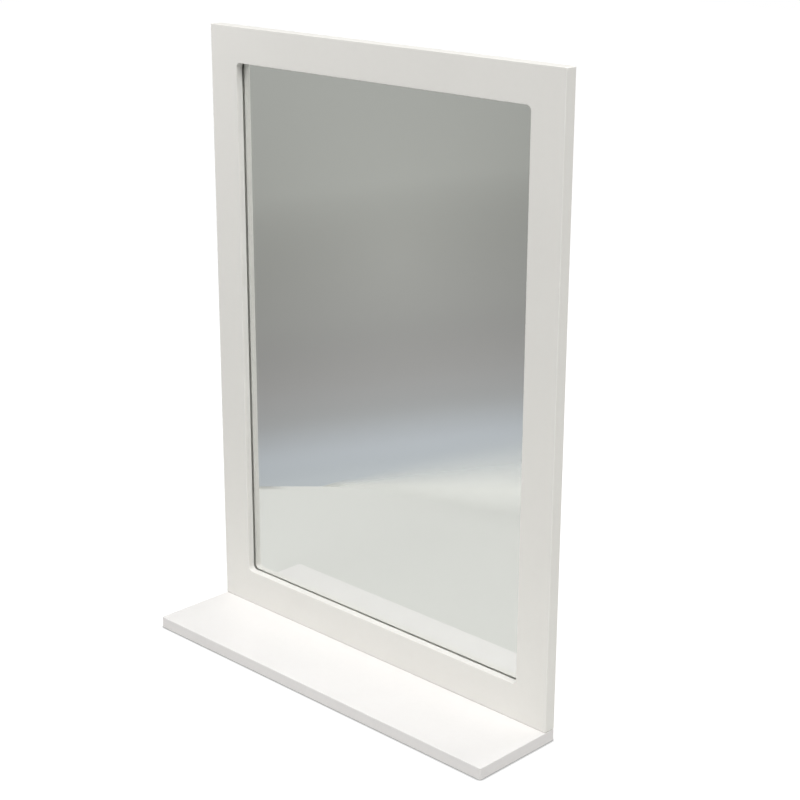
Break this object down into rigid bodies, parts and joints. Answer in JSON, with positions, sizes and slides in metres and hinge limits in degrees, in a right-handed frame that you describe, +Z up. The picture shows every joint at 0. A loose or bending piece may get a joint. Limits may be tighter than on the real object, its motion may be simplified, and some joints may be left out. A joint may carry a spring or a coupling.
{
  "type": "mirror with shelf",
  "caption": "Upright rectangular mirror behind a flat white board frame with a routed opening, on a shallow shelf screwed on from below; keyhole plates in its back hang it on a wall.",
  "frame": {"origin": "middle of the underside of the shelf, on the plane that the object stands on, half way between the shelf's front edge and the wall plane", "axes": "+Z up, +X across the width to the right as seen from the front, +Y from the room towards the wall, so the mirror faces -Y"},
  "size_m": [0.46, 0.105, 0.636],
  "materials": {
    "white_paint": "satin white lacquer on MDF, faintly rough, arrises eased",
    "silvered_glass": "3 mm float glass silvered at its back, grey backing paint",
    "hardboard": "brown hardboard, smooth face out, faint fibre mottling",
    "zinc": "bright zinc-plated steel",
    "beech": "raw fluted beech"
  },
  "bodies": {
    "root": {"frame": "white_paint", "mirror_glass": "silvered_glass", "back_panel": "hardboard", "back_panel_screws": "zinc", "hanger_plate_left": "zinc", "hanger_plate_right": "zinc", "hanger_screws": "zinc", "shelf": "white_paint", "shelf_screws": "zinc", "shelf_dowels": "beech"}
  },
  "joints": []
}
